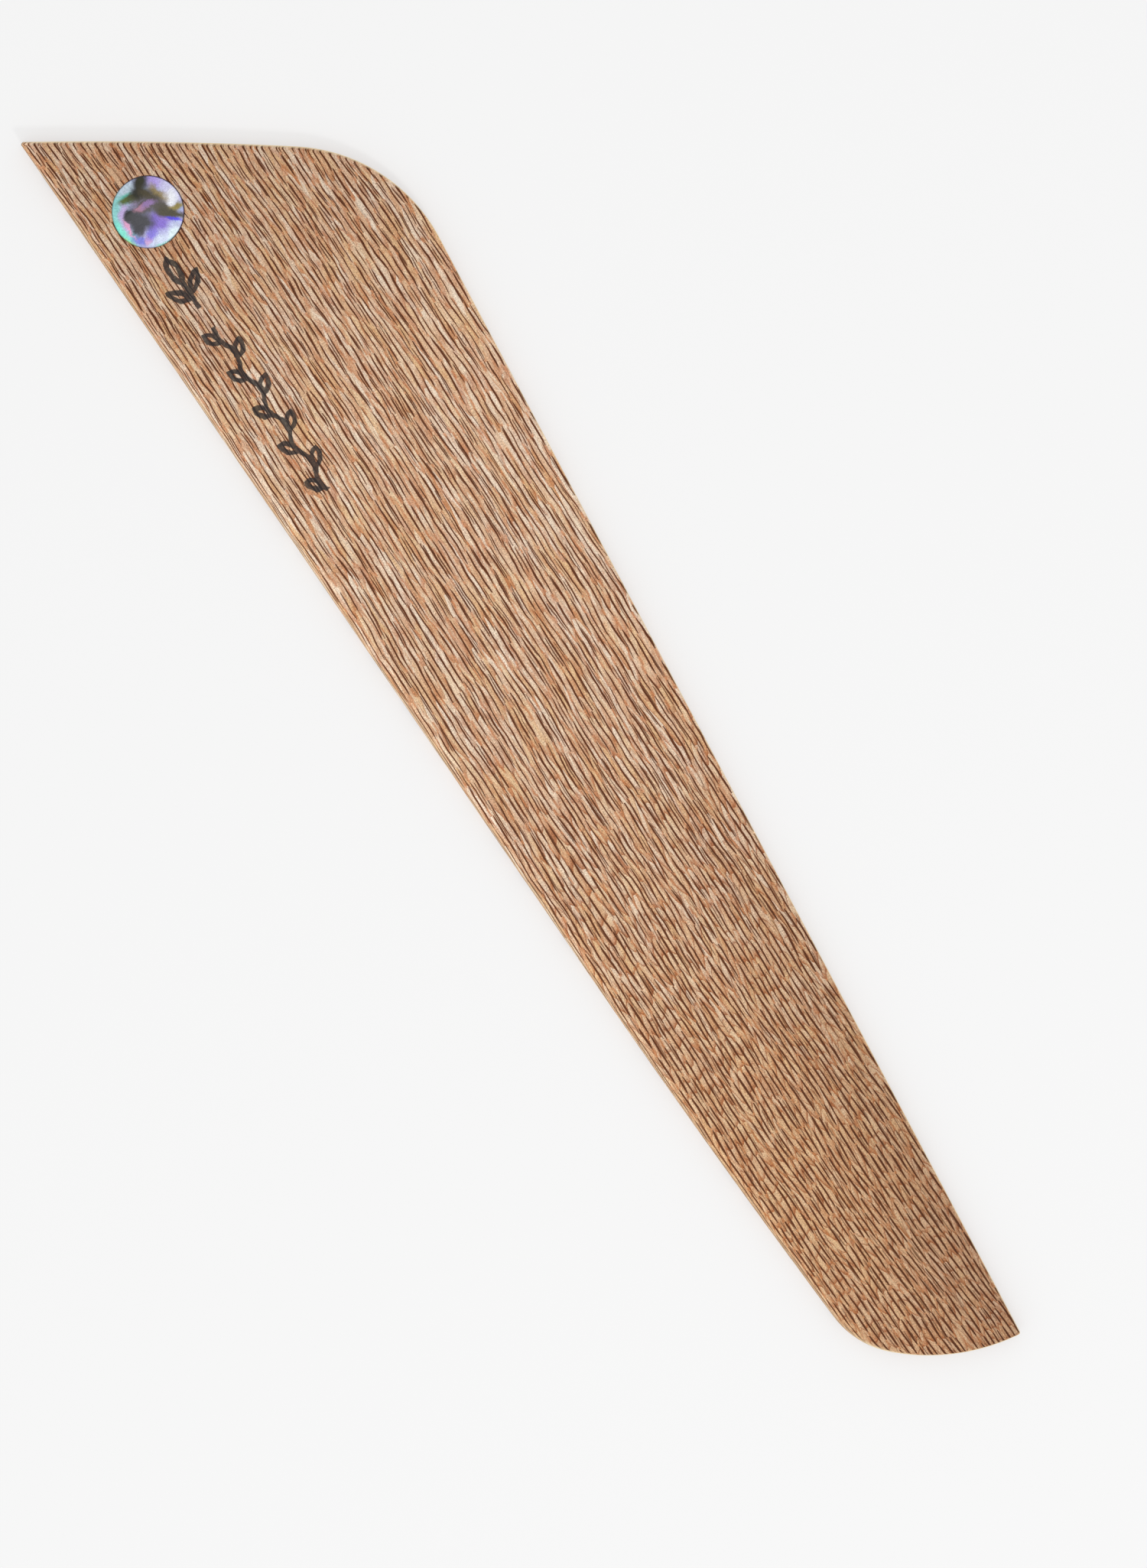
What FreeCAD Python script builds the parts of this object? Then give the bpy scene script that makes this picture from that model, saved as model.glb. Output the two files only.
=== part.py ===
import FreeCAD, Part
import math
import os
import Sketcher

# A wooden bone folder: one flat blade of figured hardwood, cut to a slanted point at its broad end
# and to a square toe at its narrow end, with a round shell disc glued into a blind seat in its face.
#
# Frame: the origin is the middle of the blade's outline, on its flat underside. +Y runs to the broad,
# pointed end, +X to the straight back edge, and +Z out of the face that carries the disc.
# Lengths are in millimetres. Sizes that end in left or below are measured along -X or -Y.

SIZES = [
    ("blade_length", 215.0, "from the toe to the point, along Y"),
    ("blade_width", 43.3, "greatest width, from the point to the shoulder, along X"),
    ("blade_thickness", 3.0, "thickness of the flat stock"),
    ("slant_radius", 550.0, "slight outward bow of the slanted edge"),
    ("shoulder_radius", 24.0, "round corner between the slanted edge and the back"),
    ("shoulder_above", 67.0, "centre of that corner"),
    ("toe_right", 11.5, "square toe, where the back meets the narrow end"),
    ("end_radius", 29.0, "rounded narrow end"),
    ("end_centre_right", 13.9, "centre of the narrow end's arc"),
    ("heel_radius", 12.5, "soft corner between the narrow end and the working edge"),
    ("belly_radius", 1500.0, "long curve of the lower working edge"),
    ("belly_left", 14.1, "where that curve meets the straight working edge"),
    ("belly_below", 32.0, "the same place"),
    ("working_edge_radius", 1.2, "rubbed rounding of the working edge, on both faces"),
    ("eased_edge_radius", 0.3, "light easing of the back and the slanted edge, on both faces"),
    ("disc_diameter", 10.0, "shell disc"),
    ("disc_left", 11.3, "centre of the disc"),
    ("disc_above", 89.7, "the same centre"),
    ("disc_wall", 1.15, "straight wall of the disc, under its dome"),
    ("disc_dome", 0.25, "rise of the polished dome"),
    ("adhesive_gap", 0.1, "adhesive between the disc and the seat's wall"),
    ("adhesive_film", 0.15, "adhesive under the disc"),
    ("seat_depth", 1.2, "blind seat in the blade"),
]

ORIGIN = (-1, 1)  # how Sketcher names a sketch's own origin point
VERTICAL_AXIS = -2  # how Sketcher names a sketch's own vertical axis
START, END, CENTRE = 1, 2, 3  # how Sketcher names the points of an element
UP = FreeCAD.Vector(0, 0, 1)
FULL_TURN = 360.0
LEVEL = 1e-6  # an edge that rises less than this, in mm, counts as level

# Directions of the outward normal where the outline's arcs join, in degrees anticlockwise from +X.
# They only have to be near: the sketch's constraints bring the arcs to their places.
POINT_NORMAL = 61
SLANT_SHOULDER_NORMAL = 57
SHOULDER_BACK_NORMAL = -3
BELLY_TOP_NORMAL = 180
HEEL_BELLY_NORMAL = 182
END_HEEL_NORMAL = 229
TOE_NORMAL = 265


def make_sheet(doc):
    """The spreadsheet of driving dimensions, one row for each alias."""
    sheet = doc.addObject("Spreadsheet::Sheet", "Sizes")
    for row, (alias, value, meaning) in enumerate(SIZES, start=1):
        sheet.set(f"A{row}", alias)
        sheet.set(f"B{row}", str(value))
        sheet.set(f"C{row}", meaning)
        sheet.setAlias(f"B{row}", alias)
    doc.recompute()
    return sheet


def add_body(doc, label):
    """An empty body, whose label becomes its file's name."""
    body = doc.addObject("PartDesign::Body", "Body")
    body.Label = label
    return body


def add_sketch(body, name, plane="XY_Plane"):
    """A sketch on one of the body's own origin planes."""
    sketch = body.newObject("Sketcher::SketchObject", name)
    support = next(item for item in body.Origin.OriginFeatures if item.Role == plane)
    sketch.AttachmentSupport = [(support, "")]
    sketch.MapMode = "FlatFace"
    return sketch


def dimension(sketch, name, kind, places, expression):
    """Add a named dimension whose value comes from the sheet."""
    value = float(sketch.evalExpression(expression))
    index = sketch.addConstraint(Sketcher.Constraint(kind, *places, value))
    sketch.renameConstraint(index, name)
    sketch.setExpression(f"Constraints.{name}", expression)


def locate(sketch, name, point, right=None, left=None, above=None, below=None):
    """Tie a sketch point to the origin by one distance across and one distance along."""
    across = (*ORIGIN, *point) if right else (*point, *ORIGIN)
    along = (*ORIGIN, *point) if above else (*point, *ORIGIN)
    dimension(sketch, f"{name}_across", "DistanceX", across, right or left)
    dimension(sketch, f"{name}_along", "DistanceY", along, above or below)


def join(sketch, kind, first, second):
    """Join two elements at an end point of each, with a Coincident or a Tangent constraint."""
    sketch.addConstraint(Sketcher.Constraint(kind, *first, *second))


def direction(angle):
    """The unit vector at an angle in degrees anticlockwise from +X."""
    return FreeCAD.Vector(math.cos(math.radians(angle)), math.sin(math.radians(angle)), 0)


def add_arc(sketch, centre, radius, first_angle, last_angle):
    """An arc drawn anticlockwise from the first angle, its START, to the last, its END."""
    circle = Part.Circle(centre, UP, radius)
    return sketch.addGeometry(
        Part.ArcOfCircle(circle, math.radians(first_angle), math.radians(last_angle))
    )


def add_line(sketch, first, last):
    return sketch.addGeometry(Part.LineSegment(first, last))


def draw_blade_outline(sketch, sheet):
    """Slanted edge, shoulder, back, narrow end, heel and working edge, clockwise from the point."""
    half_length = sheet.blade_length / 2
    half_width = sheet.blade_width / 2
    point = FreeCAD.Vector(-half_width, half_length, 0)
    toe = FreeCAD.Vector(sheet.toe_right, -half_length, 0)
    back_top = FreeCAD.Vector(half_width, sheet.shoulder_above, 0)
    belly_top = FreeCAD.Vector(-sheet.belly_left, -sheet.belly_below, 0)

    # an arc's centre lies on the line through its neighbour's centre and their joint
    shoulder_centre = FreeCAD.Vector(half_width - sheet.shoulder_radius, sheet.shoulder_above, 0)
    slant_reach = sheet.slant_radius - sheet.shoulder_radius
    slant_centre = shoulder_centre - direction(SLANT_SHOULDER_NORMAL) * slant_reach
    end_centre = FreeCAD.Vector(sheet.end_centre_right, sheet.end_radius - half_length, 0)
    heel_reach = sheet.end_radius - sheet.heel_radius
    heel_centre = end_centre + direction(END_HEEL_NORMAL) * heel_reach
    belly_reach = sheet.belly_radius - sheet.heel_radius
    belly_centre = heel_centre - direction(HEEL_BELLY_NORMAL) * belly_reach

    slant = add_arc(sketch, slant_centre, sheet.slant_radius, SLANT_SHOULDER_NORMAL, POINT_NORMAL)
    shoulder = add_arc(
        sketch, shoulder_centre, sheet.shoulder_radius, SHOULDER_BACK_NORMAL, SLANT_SHOULDER_NORMAL
    )
    back = add_line(sketch, back_top, toe)
    narrow_end = add_arc(sketch, end_centre, sheet.end_radius, END_HEEL_NORMAL, TOE_NORMAL)
    heel = add_arc(sketch, heel_centre, sheet.heel_radius, HEEL_BELLY_NORMAL, END_HEEL_NORMAL)
    belly = add_arc(sketch, belly_centre, sheet.belly_radius, BELLY_TOP_NORMAL, HEEL_BELLY_NORMAL)
    working_edge = add_line(sketch, belly_top, point)

    join(sketch, "Tangent", (slant, START), (shoulder, END))
    join(sketch, "Tangent", (shoulder, START), (back, START))
    join(sketch, "Coincident", (back, END), (narrow_end, END))
    join(sketch, "Tangent", (narrow_end, START), (heel, END))
    join(sketch, "Tangent", (heel, START), (belly, END))
    join(sketch, "Tangent", (belly, START), (working_edge, START))
    join(sketch, "Coincident", (working_edge, END), (slant, END))

    locate(
        sketch,
        "point",
        (working_edge, END),
        left="Sizes.blade_width / 2",
        above="Sizes.blade_length / 2",
    )
    locate(sketch, "toe", (back, END), right="Sizes.toe_right", below="Sizes.blade_length / 2")
    locate(
        sketch,
        "belly_top",
        (working_edge, START),
        left="Sizes.belly_left",
        below="Sizes.belly_below",
    )
    # the rightmost point of the shoulder is the blade's greatest width
    locate(
        sketch,
        "shoulder",
        (shoulder, CENTRE),
        left="Sizes.shoulder_radius - Sizes.blade_width / 2",
        above="Sizes.shoulder_above",
    )
    dimension(sketch, "end_across", "DistanceX", (*ORIGIN, narrow_end, CENTRE), "Sizes.end_centre_right")
    for name, element in (
        ("slant_radius", slant),
        ("shoulder_radius", shoulder),
        ("end_radius", narrow_end),
        ("heel_radius", heel),
        ("belly_radius", belly),
    ):
        dimension(sketch, name, "Radius", (element,), f"Sizes.{name}")


def draw_circle(sketch, diameter):
    """A circle, still free to be located, whose diameter comes from the sheet."""
    circle = sketch.addGeometry(Part.Circle(FreeCAD.Vector(0, 0, 0), UP, 1.0))
    dimension(sketch, "diameter", "Diameter", (circle,), diameter)
    return circle


def draw_disc_section(sketch, sheet):
    """Half of the disc's section, to the right of its axis: floor, wall, dome and axis."""
    radius = sheet.disc_diameter / 2
    floor_middle = FreeCAD.Vector(0, 0, 0)
    floor_rim = FreeCAD.Vector(radius, 0, 0)
    wall_top = FreeCAD.Vector(radius, sheet.disc_wall, 0)
    dome_top = FreeCAD.Vector(0, sheet.disc_wall + sheet.disc_dome, 0)
    dome_radius = (radius**2 + sheet.disc_dome**2) / (2 * sheet.disc_dome)
    dome_centre = dome_top - FreeCAD.Vector(0, dome_radius, 0)
    rim_angle = math.degrees(math.acos(radius / dome_radius))

    floor = add_line(sketch, floor_middle, floor_rim)
    wall = add_line(sketch, floor_rim, wall_top)
    dome = add_arc(sketch, dome_centre, dome_radius, rim_angle, 90)
    axis = add_line(sketch, dome_top, floor_middle)

    join(sketch, "Coincident", (floor, START), ORIGIN)
    join(sketch, "Coincident", (floor, END), (wall, START))
    join(sketch, "Coincident", (wall, END), (dome, START))
    join(sketch, "Coincident", (dome, END), (axis, START))
    join(sketch, "Coincident", (axis, END), (floor, START))
    sketch.addConstraint(Sketcher.Constraint("Horizontal", floor))
    sketch.addConstraint(Sketcher.Constraint("Vertical", wall))
    sketch.addConstraint(Sketcher.Constraint("Vertical", axis))
    sketch.addConstraint(Sketcher.Constraint("PointOnObject", dome, CENTRE, VERTICAL_AXIS))
    dimension(sketch, "radius", "DistanceX", (floor, START, floor, END), "Sizes.disc_diameter / 2")
    dimension(sketch, "wall", "DistanceY", (wall, START, wall, END), "Sizes.disc_wall")
    dimension(sketch, "dome", "DistanceY", (dome, START, dome, END), "Sizes.disc_dome")


def add_pad(body, name, sketch, length):
    pad = body.newObject("PartDesign::Pad", name)
    pad.Profile = sketch
    pad.setExpression("Length", length)
    return pad


def add_pocket(body, name, sketch, depth):
    """Cut down into the solid from a sketch that lies on its upper face."""
    pocket = body.newObject("PartDesign::Pocket", name)
    pocket.Profile = sketch
    pocket.setExpression("Length", depth)
    return pocket


def add_fillet(body, name, base, edges, radius):
    fillet = body.newObject("PartDesign::Fillet", name)
    fillet.Base = (base, edges)
    fillet.setExpression("Radius", radius)
    return fillet


def level_edges(shape, sheet, working_side):
    """Names of the edges around the two faces, on one side of the line from the toe to the point."""
    toe = FreeCAD.Vector(sheet.toe_right, -sheet.blade_length / 2, 0)
    point = FreeCAD.Vector(-sheet.blade_width / 2, sheet.blade_length / 2, 0)
    names = []
    for number, edge in enumerate(shape.Edges, start=1):
        is_level = edge.BoundBox.ZLength < LEVEL
        is_on_working_side = (point - toe).cross(edge.CenterOfMass - toe).z > 0
        if is_level and is_on_working_side == working_side:
            names.append(f"Edge{number}")
    return names


def make_blade(doc, sheet):
    """Flat stock cut to the outline, rubbed round along its working edge, with the disc's seat."""
    body = add_body(doc, "blade")
    outline = add_sketch(body, "Outline")
    draw_blade_outline(outline, sheet)
    stock = add_pad(body, "Stock", outline, "Sizes.blade_thickness")
    doc.recompute()

    working_edges = level_edges(stock.Shape, sheet, working_side=True)
    rubbed = add_fillet(body, "RubbedEdge", stock, working_edges, "Sizes.working_edge_radius")
    doc.recompute()
    other_edges = level_edges(rubbed.Shape, sheet, working_side=False)
    eased = add_fillet(body, "EasedEdges", rubbed, other_edges, "Sizes.eased_edge_radius")

    seat_circle = add_sketch(body, "SeatCircle")
    seat_circle.setExpression("AttachmentOffset.Base.z", "Sizes.blade_thickness")
    circle = draw_circle(seat_circle, "Sizes.disc_diameter + 2 * Sizes.adhesive_gap")
    locate(seat_circle, "centre", (circle, CENTRE), left="Sizes.disc_left", above="Sizes.disc_above")
    seat = add_pocket(body, "Seat", seat_circle, "Sizes.seat_depth")
    doc.recompute()
    check_removed(eased, seat)
    return body


def make_disc(doc, sheet):
    """The shell disc: a straight wall under a low polished dome."""
    body = add_body(doc, "paua_disc")
    section = add_sketch(body, "Section", plane="XZ_Plane")
    draw_disc_section(section, sheet)
    turned = body.newObject("PartDesign::Revolution", "Turned")
    turned.Profile = section
    turned.ReferenceAxis = (section, ["V_Axis"])
    turned.Angle = FULL_TURN
    set_on_disc_axis(body, "Sizes.blade_thickness - Sizes.seat_depth + Sizes.adhesive_film")
    return body


def make_adhesive(doc):
    """The adhesive as it sets: a thin cup between the disc and the seat's wall and floor."""
    body = add_body(doc, "adhesive_bed")
    outer_circle = add_sketch(body, "OuterCircle")
    outer = draw_circle(outer_circle, "Sizes.disc_diameter + 2 * Sizes.adhesive_gap")
    join(outer_circle, "Coincident", (outer, CENTRE), ORIGIN)
    fill = add_pad(body, "Fill", outer_circle, "Sizes.seat_depth")

    inner_circle = add_sketch(body, "InnerCircle")
    inner_circle.setExpression("AttachmentOffset.Base.z", "Sizes.seat_depth")
    inner = draw_circle(inner_circle, "Sizes.disc_diameter")
    join(inner_circle, "Coincident", (inner, CENTRE), ORIGIN)
    imprint = add_pocket(body, "Imprint", inner_circle, "Sizes.seat_depth - Sizes.adhesive_film")
    doc.recompute()
    check_removed(fill, imprint)
    set_on_disc_axis(body, "Sizes.blade_thickness - Sizes.seat_depth")
    return body


def set_on_disc_axis(body, height):
    """Place a body that was made about its own axis where the disc lies in the blade."""
    body.setExpression("Placement.Base.x", "-Sizes.disc_left")
    body.setExpression("Placement.Base.y", "Sizes.disc_above")
    body.setExpression("Placement.Base.z", height)


def check_removed(before, pocket):
    """A pocket that points away from its solid removes nothing and reports no error."""
    expected = Part.Face(Part.Wire(pocket.Profile[0].Shape.Edges)).Area * pocket.Length.Value
    removed = before.Shape.Volume - pocket.Shape.Volume
    if abs(removed - expected) > expected / 100:
        raise RuntimeError(f"{pocket.Name} removed {removed:.2f} mm3 instead of {expected:.2f}")


def check_document(doc, bodies):
    """Stop before anything is written if a feature failed or a sub-part isn't one sound solid."""
    for item in doc.Objects:
        if "Invalid" in item.State or "Error" in item.State:
            raise RuntimeError(f"{item.Name} didn't compute: {item.State}")
    for sketch in doc.findObjects("Sketcher::SketchObject"):
        if not sketch.FullyConstrained:
            raise RuntimeError(f"{sketch.Name} isn't fully constrained")
    for body in bodies:
        shape = body.Shape
        if shape.isNull() or not shape.isValid() or len(shape.Solids) != 1:
            raise RuntimeError(f"{body.Label} isn't one sound solid")


def write_parts(bodies):
    os.makedirs("parts", exist_ok=True)
    for body in bodies:
        body.Shape.exportStep(f"parts/{body.Label}.step")
        box = body.Shape.BoundBox
        print(f"{body.Label}: {body.Shape.Volume:.2f} mm3, {box}")


def main():
    doc = FreeCAD.newDocument("BoneFolder")
    sheet = make_sheet(doc)
    bodies = [make_blade(doc, sheet), make_disc(doc, sheet), make_adhesive(doc)]
    doc.recompute()
    check_document(doc, bodies)
    write_parts(bodies)


main()
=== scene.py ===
"""Bone folder: a flat blade of figured wood with a round shell disc let into its broad end.

Frame, in metres: +Y points to the broad end, +X to the straight back, +Z up; the blade lies on z = 0.
Sizes named in capitals are in millimetres; the lights are placed in metres.
"""

import math

import bmesh
import bpy
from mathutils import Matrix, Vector


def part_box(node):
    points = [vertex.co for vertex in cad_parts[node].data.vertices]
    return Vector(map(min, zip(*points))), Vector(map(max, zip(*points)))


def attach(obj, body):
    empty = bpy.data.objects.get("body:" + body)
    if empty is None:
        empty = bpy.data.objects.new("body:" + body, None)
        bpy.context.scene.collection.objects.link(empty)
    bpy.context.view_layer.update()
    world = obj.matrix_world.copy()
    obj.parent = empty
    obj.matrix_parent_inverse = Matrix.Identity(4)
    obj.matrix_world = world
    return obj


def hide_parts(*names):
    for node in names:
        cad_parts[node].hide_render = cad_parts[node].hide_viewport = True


MM = 0.001


# ---------------------------------------------------------------- outline of the blade

# Driving sizes. Clockwise from the sharp point of the broad end, the outline is the bowed slant, the round
# shoulder, the straight back down to the toe, the round narrow end, the soft heel, the long belly and the
# straight upper part of the working edge.
LENGTH, WIDTH = 215.0, 43.3
SLANT_RADIUS = 550.0
SHOULDER_RADIUS, SHOULDER_LEVEL = 24.0, 67.0
TOE_ASIDE = 11.5
END_RADIUS, END_ASIDE = 29.0, 13.9
HEEL_RADIUS = 12.5
BELLY_TOP, BELLY_RADIUS = (-14.1, -32.0), 1500.0


def crossing(first, first_radius, second, second_radius):
    """Where two circles cross, on the left of the way from the first centre to the second."""
    gap = math.dist(first, second)
    along = (first_radius**2 - second_radius**2 + gap**2) / (2 * gap)
    aside = math.sqrt(first_radius**2 - along**2)
    run, rise = (second[0] - first[0]) / gap, (second[1] - first[1]) / gap
    return (first[0] + run * along - rise * aside, first[1] + rise * along + run * aside)


# What follows from them, because each arc runs smoothly into its neighbours, save at the point and the toe.
POINT = (-WIDTH / 2, LENGTH / 2)
TOE = (TOE_ASIDE, -LENGTH / 2)
SHOULDER_CENTRE = (WIDTH / 2 - SHOULDER_RADIUS, SHOULDER_LEVEL)
SLANT_CENTRE = crossing(SHOULDER_CENTRE, SLANT_RADIUS - SHOULDER_RADIUS, POINT, SLANT_RADIUS)
END_CENTRE = (END_ASIDE, TOE[1] + math.sqrt(END_RADIUS**2 - (END_ASIDE - TOE_ASIDE) ** 2))
EDGE_LENGTH = math.dist(BELLY_TOP, POINT)
EDGE_RUN = (POINT[0] - BELLY_TOP[0]) / EDGE_LENGTH
EDGE_RISE = (POINT[1] - BELLY_TOP[1]) / EDGE_LENGTH
BELLY_CENTRE = (BELLY_TOP[0] + BELLY_RADIUS * EDGE_RISE, BELLY_TOP[1] - BELLY_RADIUS * EDGE_RUN)
HEEL_CENTRE = crossing(BELLY_CENTRE, BELLY_RADIUS - HEEL_RADIUS, END_CENTRE, END_RADIUS - HEEL_RADIUS)


# ---------------------------------------------------------------- values that vary over a surface


class Value:
    """A number that varies over a surface. Arithmetic on it adds Math nodes to its material."""

    def __init__(self, tree, socket):
        self.tree = tree
        self.socket = socket

    def math(self, operation, *others):
        node = self.tree.nodes.new("ShaderNodeMath")
        node.operation = operation
        for socket, value in zip(node.inputs, (self,) + others):
            plug(self.tree, value, socket)
        return Value(self.tree, node.outputs[0])

    def __add__(self, other):
        return self.math("ADD", other)

    def __radd__(self, other):
        return self.math("ADD", other)

    def __sub__(self, other):
        return self.math("SUBTRACT", other)

    def __rsub__(self, other):
        return (self * -1.0).math("ADD", other)

    def __mul__(self, other):
        return self.math("MULTIPLY", other)

    def __truediv__(self, other):
        return self.math("DIVIDE", other)

    def __pow__(self, other):
        return self.math("POWER", other)

    def size(self):
        return self.math("ABSOLUTE")

    def floor(self):
        return self.math("FLOOR")

    def sine(self):
        return self.math("SINE")

    def root(self):
        return self.math("SQRT")

    def at_least(self, other):
        return self.math("MAXIMUM", other)

    def at_most(self, other):
        return self.math("MINIMUM", other)

    def rise(self, low, high):
        """0 below low, 1 above high, and a smooth step between."""
        node = self.tree.nodes.new("ShaderNodeMapRange")
        node.interpolation_type = "SMOOTHSTEP"
        plug(self.tree, self, node.inputs["Value"])
        plug(self.tree, low, node.inputs["From Min"])
        plug(self.tree, high, node.inputs["From Max"])
        return Value(self.tree, node.outputs["Result"])

    def fall(self, low, high):
        """1 below low, 0 above high, and a smooth step between."""
        return 1.0 - self.rise(low, high)


def plug(tree, value, socket):
    """Links a Value to a socket, or sets the socket to a plain number or colour."""
    if isinstance(value, Value):
        tree.links.new(value.socket, socket)
    elif isinstance(value, tuple) and len(value) == 3 and socket.type == "RGBA":
        socket.default_value = (*value, 1.0)
    else:
        socket.default_value = value


def place(tree, x, y, z=0.0):
    """A vector made of three numbers."""
    node = tree.nodes.new("ShaderNodeCombineXYZ")
    for socket, value in zip(node.inputs, (x, y, z)):
        plug(tree, value, socket)
    return Value(tree, node.outputs[0])


def parts(tree, vector):
    """The three numbers that a vector or colour is made of."""
    node = tree.nodes.new("ShaderNodeSeparateXYZ")
    plug(tree, vector, node.inputs[0])
    return [Value(tree, socket) for socket in node.outputs]


def position_in_mm(tree):
    node = tree.nodes.new("ShaderNodeTexCoord")
    return [number * 1000.0 for number in parts(tree, Value(tree, node.outputs["Object"]))]


def noise(tree, x, y, seed=0.0, detail=1.0, roughness=0.5):
    """Cloudy noise, about 0.5 on average, whose lumps are about one unit wide."""
    node = tree.nodes.new("ShaderNodeTexNoise")
    plug(tree, place(tree, x, y, seed), node.inputs["Vector"])
    node.inputs["Scale"].default_value = 1.0
    node.inputs["Detail"].default_value = detail
    node.inputs["Roughness"].default_value = roughness
    return Value(tree, node.outputs[0])


def chances(tree, x, y):
    """Three random numbers from 0 to 1, the same wherever x and y are the same."""
    node = tree.nodes.new("ShaderNodeTexWhiteNoise")
    node.noise_dimensions = "2D"
    plug(tree, place(tree, x, y), node.inputs["Vector"])
    return parts(tree, Value(tree, node.outputs["Color"]))


# A Mix node has a set of sockets for each kind of data. These are the ones for its factor and its colours.
MIX_FACTOR, MIX_FIRST, MIX_SECOND, MIX_RESULT = 0, 6, 7, 2


def blend(tree, factor, first, second, way="MIX"):
    """A colour that goes from first to second as factor goes from 0 to 1."""
    node = tree.nodes.new("ShaderNodeMix")
    node.data_type = "RGBA"
    node.blend_type = way
    plug(tree, factor, node.inputs[MIX_FACTOR])
    plug(tree, first, node.inputs[MIX_FIRST])
    plug(tree, second, node.inputs[MIX_SECOND])
    return Value(tree, node.outputs[MIX_RESULT])


def tint(tree, factor, colour, by):
    """A colour multiplied by another, as far as factor says."""
    return blend(tree, factor, colour, by, "MULTIPLY")


def shade(tree, factor, colour):
    """A colour made lighter or darker by a factor."""
    node = tree.nodes.new("ShaderNodeVectorMath")
    node.operation = "SCALE"
    plug(tree, colour, node.inputs[0])
    plug(tree, factor, node.inputs["Scale"])
    return Value(tree, node.outputs[0])


def seen(red, green, blue):
    """A colour given as it looks on a screen, 0 to 255."""
    return tuple(linear(level / 255.0) for level in (red, green, blue))


def linear(level):
    """The strength of light of a screen's level, both 0 to 1, as the sRGB standard has it."""
    if level <= 0.04045:
        return level / 12.92
    return ((level + 0.055) / 1.055) ** 2.4


def new_material(name):
    """An empty material: the material, its tree and its surface shader."""
    material = bpy.data.materials.new(name)
    material.use_nodes = True
    tree = material.node_tree
    tree.nodes.clear()
    shader = tree.nodes.new("ShaderNodeBsdfPrincipled")
    output = tree.nodes.new("ShaderNodeOutputMaterial")
    tree.links.new(shader.outputs[0], output.inputs["Surface"])
    return material, tree, shader


def bump(tree, shader, height, depth_mm):
    """Raises the surface by height times depth_mm."""
    node = tree.nodes.new("ShaderNodeBump")
    node.inputs["Strength"].default_value = 1.0
    node.inputs["Distance"].default_value = depth_mm * MM
    plug(tree, height, node.inputs["Height"])
    tree.links.new(node.outputs[0], shader.inputs["Normal"])


# ---------------------------------------------------------------- wood

LINE_SPACING = 0.79
EXTRA_SPACING, EXTRA_SHIFT = 1.05, 0.31

# How far the figure moves across the grain for each millimetre of height, as the rays of the wood slope.
RAY_TILT = 1.2

# The dark lines come in two layers. Their random draws are taken this far apart, and away from the fields'.
LAYER_STRIDE = 37.0
FIELD_LAYER = 11.0

# The wood is lightened, by wear and by painted light, from the first of these distances to the second,
# measured in from the working edge.
LIGHTER_STRIP_FULL, LIGHTER_STRIP_NONE = 0.3, 2.3


class Grain:
    """Where a point of the wood lies across and along its grain, and how far towards the narrow end."""

    def __init__(self, tree):
        self.tree = tree
        self.x, self.y, height = position_in_mm(tree)
        self.down = self.y * -1.0
        self.lower = self.down.rise(-30.0, 70.0)
        self.golden = self.down.rise(-8.0, 88.0)
        self.across = self.sideways(height)
        self.along = self.lengthways()

    def sideways(self, height):
        """Millimetres across the grain, which leans and sways a little."""
        lean = self.y * 0.0105 + self.y * self.y * self.y * 2.03e-6
        straight = self.x + lean + height * RAY_TILT
        calm = 1.0 - self.down.rise(20.0, 80.0) * 0.5
        sway = noise(self.tree, straight * 0.10, self.y * 0.05) - 0.5
        ripple = noise(self.tree, straight * 0.45, self.y * 0.18, seed=7.0) - 0.5
        tremor = noise(self.tree, straight * 1.4, self.y * 0.7, seed=3.0) - 0.5
        return straight + sway * 1.4 + (ripple * 0.55 + tremor * 0.12) * calm

    def lengthways(self):
        """Lengths of the figure counted from the blade's middle; they are shorter towards both ends."""
        above, below = self.y.at_least(0.0), self.y.at_most(0.0)
        return self.y * 0.14 + above * above * above * 4.2e-6 - below * below * 5.0e-4

    def noise(self, across, along, seed, detail=1.0, roughness=0.5):
        """Cloudy noise with so many lumps to a millimetre across and along the grain."""
        return noise(self.tree, self.across * across, self.y * along, seed, detail, roughness)


def columns(tree, across, along, spacing, layer):
    """Splits the wood into columns along the grain, and each column into lengths.

    Gives the offset from the column's middle in millimetres, the share of the length that is passed,
    and three random numbers that belong to that length.
    """
    scaled = across * (1.0 / spacing)
    column = scaled.floor()
    passed = along + chances(tree, column, layer)[0]
    piece = passed.floor()
    luck = chances(tree, column, piece + layer * LAYER_STRIDE)
    return (scaled - column - 0.5) * spacing, passed - piece, luck


def spindles(tree, across, along, spacing, layer, thin, thick, missing):
    """Dark lines along the grain, pointed at both ends; their halo, and the rusty tails of their ends."""
    offset, passed, (first, second, third) = columns(tree, across, along, spacing, layer)
    half = 0.31 + third * 0.33
    reach = (((passed - 0.5) / half) ** 2.0).at_most(1.0)
    taper = 1.0 - reach * reach
    aside = (first - 0.5) * spacing * 0.34 + (passed - 0.5) * (second - 0.5) * 0.28
    width = (thin + first * (thick - thin)) * (0.1 + taper * 0.9)
    distance = (offset - aside).size()
    edge = distance - width * 0.5
    shown = taper.rise(0.0, 0.3) * third.rise(missing, missing + 0.02)
    tail = distance.fall(0.05, 0.26) * taper.fall(0.0, 0.6)
    return edge.fall(-0.03, 0.03) * shown, edge.fall(0.0, 0.26) * shown, tail


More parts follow.
